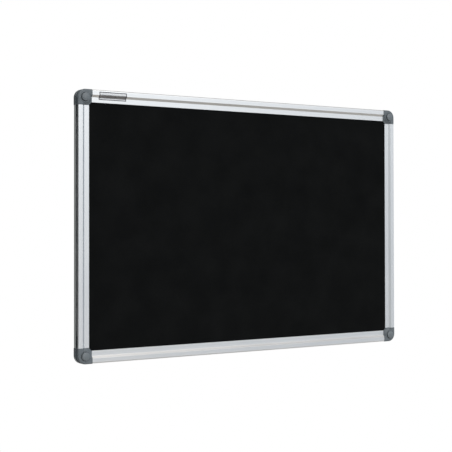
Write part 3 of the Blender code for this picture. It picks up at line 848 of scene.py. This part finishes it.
def swell(flat):
    """The mean of sines of seeded directions, wavelengths and phases, faded out at the edge."""
    rng = np.random.default_rng(SWELL_SEED)
    heading = rng.uniform(0, 2 * pi, SWELL_WAVES)
    wavelength = rng.uniform(SHORTEST_WAVE, LONGEST_WAVE, SWELL_WAVES)
    phase = rng.uniform(0, 2 * pi, SWELL_WAVES)
    along = flat[..., :1] * np.cos(heading) + flat[..., 1:] * np.sin(heading)
    waves = np.sin(2 * pi * along / wavelength + phase).mean(axis=2)
    x, z = np.abs(flat[..., 0]), np.abs(flat[..., 1])
    to_edge = np.minimum(FELT_HALF_WIDTH - x, FELT_HALF_HEIGHT - z)
    return waves * np.clip(to_edge / SWELL_FADE, 0, 1)


def border(grid):
    """The grid's outline as one loop."""
    return np.concatenate([grid[0, :-1], grid[:-1, -1], grid[-1, :0:-1], grid[:0:-1, 0]])


def felt_edge(angle):
    """The outline at one angle of the edge's rounding, from the front to the side."""
    outline = border(felt_points(FELT_EDGE * (1 - sin(angle))))
    return at_depth(FELT_FRONT + FELT_EDGE * (1 - cos(angle)))(outline)


felt_grid = felt_points(FELT_EDGE)
felt_depth = FELT_FRONT - SWELL * swell(felt_grid)[:, :, None]
felt_front = np.concatenate([felt_grid, felt_depth], axis=2)
felt_rim = [border(felt_front)]
felt_rim += [felt_edge(angle) for angle in np.linspace(0, pi / 2, EDGE_STEPS + 1)[1:]]
felt_rim.append(at_depth(FELT_BACK)(felt_rim[-1][:, :2]))
felt_shell = Shell()
felt_shell.grid(felt_front)
felt_shell.grid(felt_rim, wrap=True)
felt_shell.fill([felt_rim[-1][:, :2]], at_depth(FELT_BACK))
felt_face = felt_shell.piece(
    "felt_face", lambda p: np.column_stack([p[:, 0], FACE_Y + p[:, 2], p[:, 1]])
)

# %% [markdown]
# Needled felt is a mat of short black fibres. From a step away it is an even black, with a breath
# of lighter cloud where the nap lies differently. Close up, single fibres cross each other. Two
# noises, squeezed in crossing directions, stand for them. Black cloth has almost no shine, so the
# Specular level, the same all over, is turned low on the socket itself.

# %% The felt's finish


def needled_felt(place):
    """Crossed fibres, small pills and a broad nap."""
    slanted = place.node("ShaderNodeMapping", {}, {"Vector": place, "Rotation": (0, 0.7, 0)})
    crossed = place.node("ShaderNodeMapping", {}, {"Vector": place, "Rotation": (0, -0.5, 0)})
    fibres = slanted.scaled((350, 600, 2600)).noise(1.0, 3.0, 0.6).most(
        crossed.scaled((2400, 600, 420)).noise(1.0, 3.0, 0.6)
    )
    pills = place.noise(700.0, 3.0, 0.6)
    nap = place.noise(16.0, 3.0, 0.55)
    tone = 0.5 * fibres + 0.25 * pills + 0.25 * nap
    return {
        "Base Color": tone.step(0.38, 0.72).mix((0.0042, 0.0047, 0.0050), (0.0098, 0.0105, 0.0108)),
        "Roughness": 0.92 + 0.08 * pills,
        "Specular IOR Level": 0.03,
        "Normal": (0.6 * fibres + 0.4 * pills).bump(0.00025, 0.5),
    }


felt = finish("black_felt", needled_felt)
dress(felt_face, felt, "board", "black_felt", "fabric_face")
FELT_AREA = 4 * FELT_HALF_WIDTH * FELT_HALF_HEIGHT - 2 * FELT_CUT**2
print(f"felt: {2 * FELT_HALF_WIDTH:.3f} x {2 * FELT_HALF_HEIGHT:.3f} m, area {FELT_AREA:.4f} m2")

# %% [markdown]
# ## The film on the top rail
# A thin clear film is stuck over the top rail's step. It follows the band, the slope and the lip, so
# its section is the rail's own path, lifted by the film's gap and thickness. It is bare but
# for a plain dark border and a plain grey bar, which lie on the film by their place on the board.

# %% The film
film_low, film_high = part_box("label_film")
FILM_GAP, FILM_THICKNESS = 0.0001, 0.0002
film_start, film_end = HALF_HEIGHT - film_high.z, HALF_HEIGHT - film_low.z


def film_path(lift):
    """The rail's face line moved out by lift: each straight goes out square to itself."""
    line = np.array([(film_start, 0), (BAND, 0), (STEP_END, DROP), (film_end, DROP)])
    ahead = np.diff(line, axis=0)
    ahead /= np.linalg.norm(ahead, axis=1, keepdims=True)
    outward = np.column_stack([ahead[:, 1], -ahead[:, 0]])
    both = np.vstack([outward[:1], outward[:-1] + outward[1:], outward[-1:]])
    both = both / (both**2).sum(1, keepdims=True) * np.array([1, 2, 2, 1])[:, None]
    radii = [STEP_RADIUS + lift, STEP_RADIUS - lift]
    return rounded_path(line + lift * both, radii)


film_loop = np.vstack([film_path(FILM_GAP + FILM_THICKNESS), film_path(FILM_GAP)[::-1]])
film_shell = Shell()
film_rows = [at_along(x)(film_loop) for x in (film_low.x, film_high.x)]
film_shell.grid(film_rows, wrap=True)
for row in film_rows:
    film_shell.lid(row)
film_piece = film_shell.piece("clear_film", along_rail("top"))

# %% The film's finish
BORDER_WIDTH, BAR_LOW, BAR_HIGH = 0.0015, 0.0098, 0.0180
BORDER_BLUR, BAR_BLUR = 1.1, 1.02
INK, CLEAR = (0.042, 0.037, 0.05), (0.46, 0.46, 0.48)
BAR_SHARE, CLEAR_SHARE, SPECKLE_SHARE = 0.26, 0.06, 0.02


def printed_film(place):
    """Clear film: opaque on the border, a quarter so on the bar, almost clear elsewhere."""
    x, _, z = place.axes()
    middle_x, middle_z = (film_low.x + film_high.x) / 2, (film_low.z + film_high.z) / 2
    to_end = (film_high.x - film_low.x) / 2 - (x - middle_x).size()
    to_side = (film_high.z - film_low.z) / 2 - (z - middle_z).size()
    border_ink = 1 - to_end.least(to_side).step(BORDER_WIDTH, BORDER_WIDTH * BORDER_BLUR)
    across = HALF_HEIGHT - z
    bar = across.step(BAR_LOW, BAR_LOW * BAR_BLUR) * (1 - across.step(BAR_HIGH, BAR_HIGH * BAR_BLUR))
    speckle = place.noise(1500.0, 2.0)
    ink = border_ink.most(BAR_SHARE * bar)
    return {
        "Base Color": border_ink.most(bar).mix(CLEAR, INK),
        "Roughness": 0.2 + 0.15 * speckle,
        "Alpha": ink.most(CLEAR_SHARE + SPECKLE_SHARE * speckle),
        "Normal": speckle.bump(0.00001, 0.4),
    }


dress(film_piece, finish("label_film", printed_film), "board", "label_film", "label_film")

# %% [markdown]
# ## The panel behind the felt
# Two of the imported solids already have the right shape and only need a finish: the softboard core,
# which shows only when the board is taken apart, and the steel sheet that closes its back. Hot-dip
# galvanising leaves spangles, flat crystals that each shine a little differently. A Voronoi cell
# pattern gives each crystal its own tone and gloss.

# %% Finishes for the softboard and the steel
SPANGLES_PER_METRE, SPANGLE_WARP = 85.0, 0.012


def softboard(place):
    """Pressed wood fibre: long flecks in the plane of the board over a fine crumb."""
    flecks = place.scaled((120, 900, 420)).noise(1.0, 4.0, 0.6)
    crumb = place.noise(900.0, 3.0, 0.6)
    tone = (0.6 * flecks + 0.4 * crumb).step(0.3, 0.7)
    return {
        "Base Color": tone.mix((0.26, 0.17, 0.09), (0.52, 0.39, 0.24)),
        "Roughness": 0.88 + 0.1 * crumb,
        "Normal": (0.5 * flecks + 0.5 * crumb).bump(0.0003, 0.6),
    }


def galvanised_steel(place):
    """Spangles of about 12 mm with soft borders, over a faint rolling grain."""
    warp = place.noise(60.0, 2.0) * SPANGLE_WARP
    shifted = place.vector("ADD", place, warp)
    values = {"Vector": shifted, "Scale": SPANGLES_PER_METRE}
    cell = shifted.node("ShaderNodeTexVoronoi", {}, values, "Color")
    tone = cell.node("ShaderNodeSeparateColor", {}, {0: cell}, 0)
    grain = place.scaled((8, 900, 900)).noise(1.0, 2.0)
    return {
        "Base Color": (0.75 * tone + 0.25 * grain).mix((0.50, 0.52, 0.54), (0.66, 0.68, 0.69)),
        "Metallic": 1.0,
        "Roughness": 0.34 + 0.16 * tone + 0.06 * grain,
        "Normal": (0.6 * tone + 0.4 * grain).bump(0.00001, 0.4),
    }


for node, material in (
    ("softboard_core", finish("softboard", softboard)),
    ("backing_sheet", finish("galvanised_sheet", galvanised_steel)),
):
    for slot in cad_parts[node].material_slots:
        slot.material = material
    print(node, "keeps its solid, in", material.name)

# %% [markdown]
# ## The camera
# The photographer stood to the left of the board, level with its middle, 2.6 m away, with a long
# lens. The camera's place comes from the frame's four edges: their slopes and lengths in the picture
# fix where the camera stands and how its lens is shifted, which is three hundredths of the width.

# %% Place the camera
CAMERA_PLACE = (-1.4406, -2.1863, 0.0020)
CAMERA_TURN, CAMERA_PITCH, CAMERA_ROLL = radians(32.346), radians(0.735), radians(0.0996)
LENS_MM, SHIFT_UP = 86.553, -0.03265
camera = bpy.data.objects.new("camera", bpy.data.cameras.new("camera"))
camera.data.lens, camera.data.shift_y = LENS_MM, SHIFT_UP
camera.location = CAMERA_PLACE
camera.rotation_euler = (pi / 2 + CAMERA_PITCH, CAMERA_ROLL, -CAMERA_TURN)
bpy.context.scene.collection.objects.link(camera)
bpy.context.scene.camera = camera

# %% [markdown]
# ## The studio
# Aluminium shows what stands round it, so the studio is half of its finish. The flat faces mirror
# the wall ahead on the right, the slopes of the side rails the right wall or the left front, the
# slope of the top rail the floor, and that of the bottom rail the bank of lights overhead. So the
# world is a sum of six soft patches, each a power of the cosine to its middle. The picture's
# ground is white, so rays from the camera see white, and so do mirrored rays in its direction.

# %% The world
SEEN_DIRECTION = (sin(CAMERA_TURN), cos(CAMERA_TURN), 0)
GROUND_START, GROUND_END = 0.8, 0.95
PATCH_POWER = 6
PATCHES = {
    "lights overhead": (0, 45, (2.45, 2.32, 2.17)),
    "ahead on the right": (34, 12, (0.78, 0.82, 0.86)),
    "ahead on the left": (-24, 16, (0.58, 0.65, 0.71)),
    "right wall": (90, 0, (0.50, 0.58, 0.65)),
    "behind the board": (180, 0, (0.30, 0.33, 0.30)),
    "above the wall": (180, 45, (0.70, 0.70, 0.70)),
}


def towards(heading, height):
    """A direction, by its heading from straight ahead to the right and its height, in degrees."""
    level = cos(radians(height))
    return sin(radians(heading)) * level, -cos(radians(heading)) * level, sin(radians(height))


def ray_masks(wire):
    """Three masks: rays from the camera, mirrored rays, and rays that pass through a clear piece."""
    names = "Is Camera Ray", "Is Glossy Ray", "Is Transmission Ray"
    return [wire.node("ShaderNodeLightPath", {}, {}, name) for name in names]


def make_world():
    """The sum of colour * max(0, cosine to the patch's middle) ^ power, and the white ground."""
    world = bpy.data.worlds.new("studio")
    world.use_nodes = True
    tree = world.node_tree
    start = Wire(tree)
    direction = start.node("ShaderNodeTexCoord", {}, {}, "Generated")
    room = [0.0, 0.0, 0.0]
    for heading, height, colour in PATCHES.values():
        near = direction.dot(towards(heading, height)).most(0.0)
        patch = near.maths("POWER", near, PATCH_POWER)
        room = [channel + share * patch for channel, share in zip(room, colour)]
    camera_ray, glossy_ray, clear_ray = ray_masks(start)
    ground = direction.dot(SEEN_DIRECTION).step(GROUND_START, GROUND_END)
    white = camera_ray.most(clear_ray).most(glossy_ray * ground)
    room_light = start.node("ShaderNodeCombineColor", {}, dict(enumerate(room)))
    plug(tree, white.mix(room_light, (1, 1, 1)), tree.nodes["Background"].inputs["Color"])
    bpy.context.scene.world = world


make_world()

# %% The lamp
# One soft square lamp looks at the board's middle, and is not seen itself.
LAMP_PLACE = Vector((0.7, -2.6, 1.5))
lamp = bpy.data.lights.new("key", "AREA")
lamp.shape, lamp.size, lamp.energy, lamp.color = "SQUARE", 1.3, 3, (0.8, 0.92, 1.0)
stand = bpy.data.objects.new("key", lamp)
stand.location = LAMP_PLACE
stand.rotation_euler = (-LAMP_PLACE).to_track_quat("-Z", "Y").to_euler()
stand.visible_camera = False
bpy.context.scene.collection.objects.link(stand)

# %% The floor
FLOOR_Z, FLOOR_RADIUS, FLOOR_STEPS = -1.4, 4.4, 96
FADE_START, FADE_END = 2.6, 4.0
REAR_START, REAR_END = 0.1, 0.5
FLOOR_DARK, FLOOR_LIGHT, PALE_SHARE = (0.63, 0.60, 0.555), (0.67, 0.64, 0.595), 0.4


def make_floor():
    """A disc below the hung board, a little paler to the camera than it is lit.

    It turns white towards its rim, and for mirrored rays also behind the board.
    """
    mesh = bpy.data.meshes.new("floor")
    edge = at_depth(FLOOR_Z)(ring((0, 0), FLOOR_RADIUS, FLOOR_STEPS))
    mesh.from_pydata(edge, [], [range(FLOOR_STEPS)])
    floor = bpy.data.objects.new("floor", mesh)
    bpy.context.scene.collection.objects.link(floor)
    material = finish("pale_floor", lambda place: {
        "Base Color": place.noise(3.0, 2.0).mix(FLOOR_DARK, FLOOR_LIGHT), "Roughness": 0.7,
    })
    tree = material.node_tree
    place = Wire(tree).node("ShaderNodeTexCoord", {}, {}, "Object")
    flat = place.scaled((1, 1, 0))
    reach = flat.vector("LENGTH", flat, output="Value")
    camera_ray, glossy_ray, clear_ray = ray_masks(place)
    seen = camera_ray.most(glossy_ray).most(clear_ray) * reach.step(FADE_START, FADE_END)
    seen = seen.most(glossy_ray * place.axes()[1].step(REAR_START, REAR_END))
    seen = seen.most(PALE_SHARE * camera_ray.most(clear_ray))
    glow = place.node("ShaderNodeEmission", {}, {"Color": (1, 1, 1)})
    shader = Wire(tree, tree.nodes["Principled BSDF"].outputs[0])
    mixed = place.node("ShaderNodeMixShader", {}, {0: seen, 1: shader, 2: glow})
    tree.links.new(mixed.socket, tree.nodes["Material Output"].inputs["Surface"])
    mesh.materials.append(material)


make_floor()

# %% [markdown]
# ## The picture's colour
# The picture is shown without any colour grading, so a finish renders about as it is written.
# What was made here must not be larger than the imported solids.

# %% Show the picture without grading
bpy.context.scene.view_settings.view_transform = "Standard"
